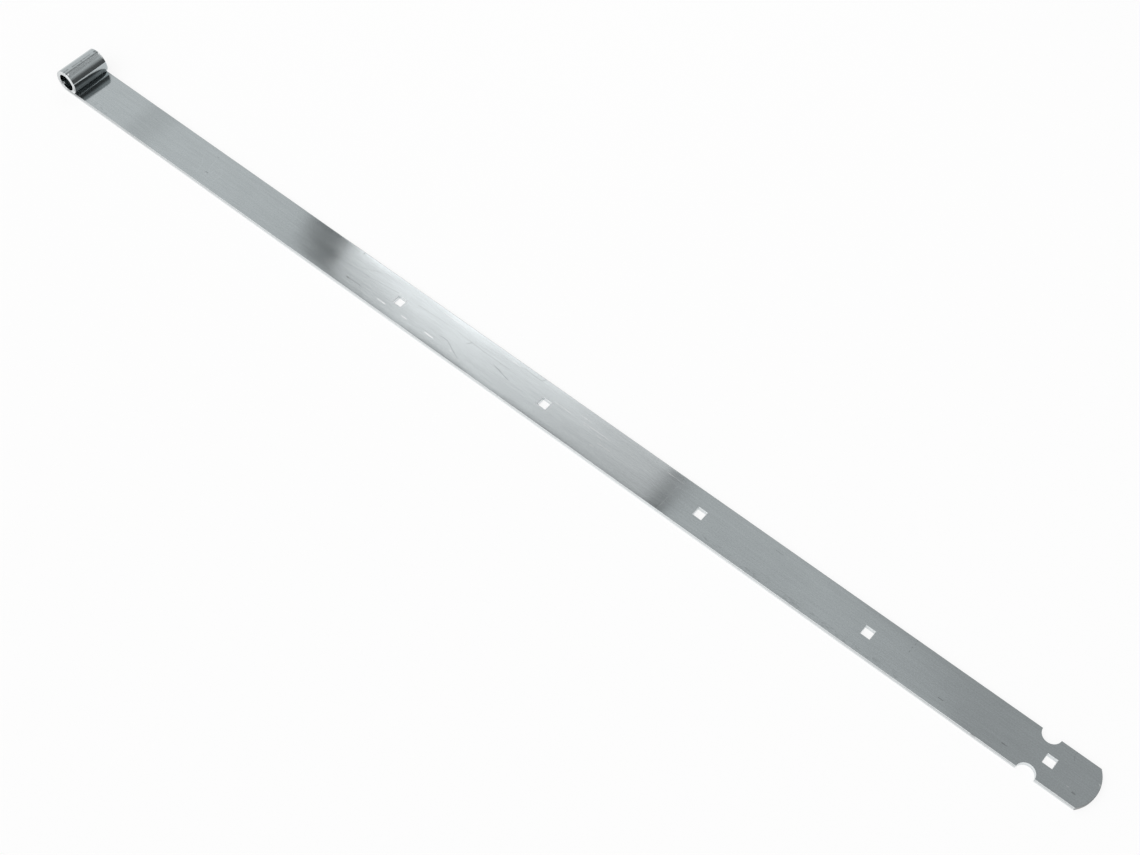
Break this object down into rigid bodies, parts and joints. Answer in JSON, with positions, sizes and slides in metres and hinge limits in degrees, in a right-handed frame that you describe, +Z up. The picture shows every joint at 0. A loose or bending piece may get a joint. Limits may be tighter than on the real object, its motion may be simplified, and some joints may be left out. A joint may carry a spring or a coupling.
{
  "type": "gate strap hinge",
  "caption": "Long flat steel gate strap with a rolled eye for a round pin, square bolt holes along its centre and half-round notches near its curved tip.",
  "frame": {"origin": "centre of the rolled eye's bore, halfway across the strap's width", "axes": "+Y along the eye's bore, +X along the strap from the eye to the tip, +Z up from the strap's flat back to the side that the eye stands on"},
  "size_m": [1.1002, 0.04, 0.0244],
  "materials": {
    "strap": "satin"
  },
  "bodies": {
    "root": {"strap": "strap"}
  },
  "joints": []
}
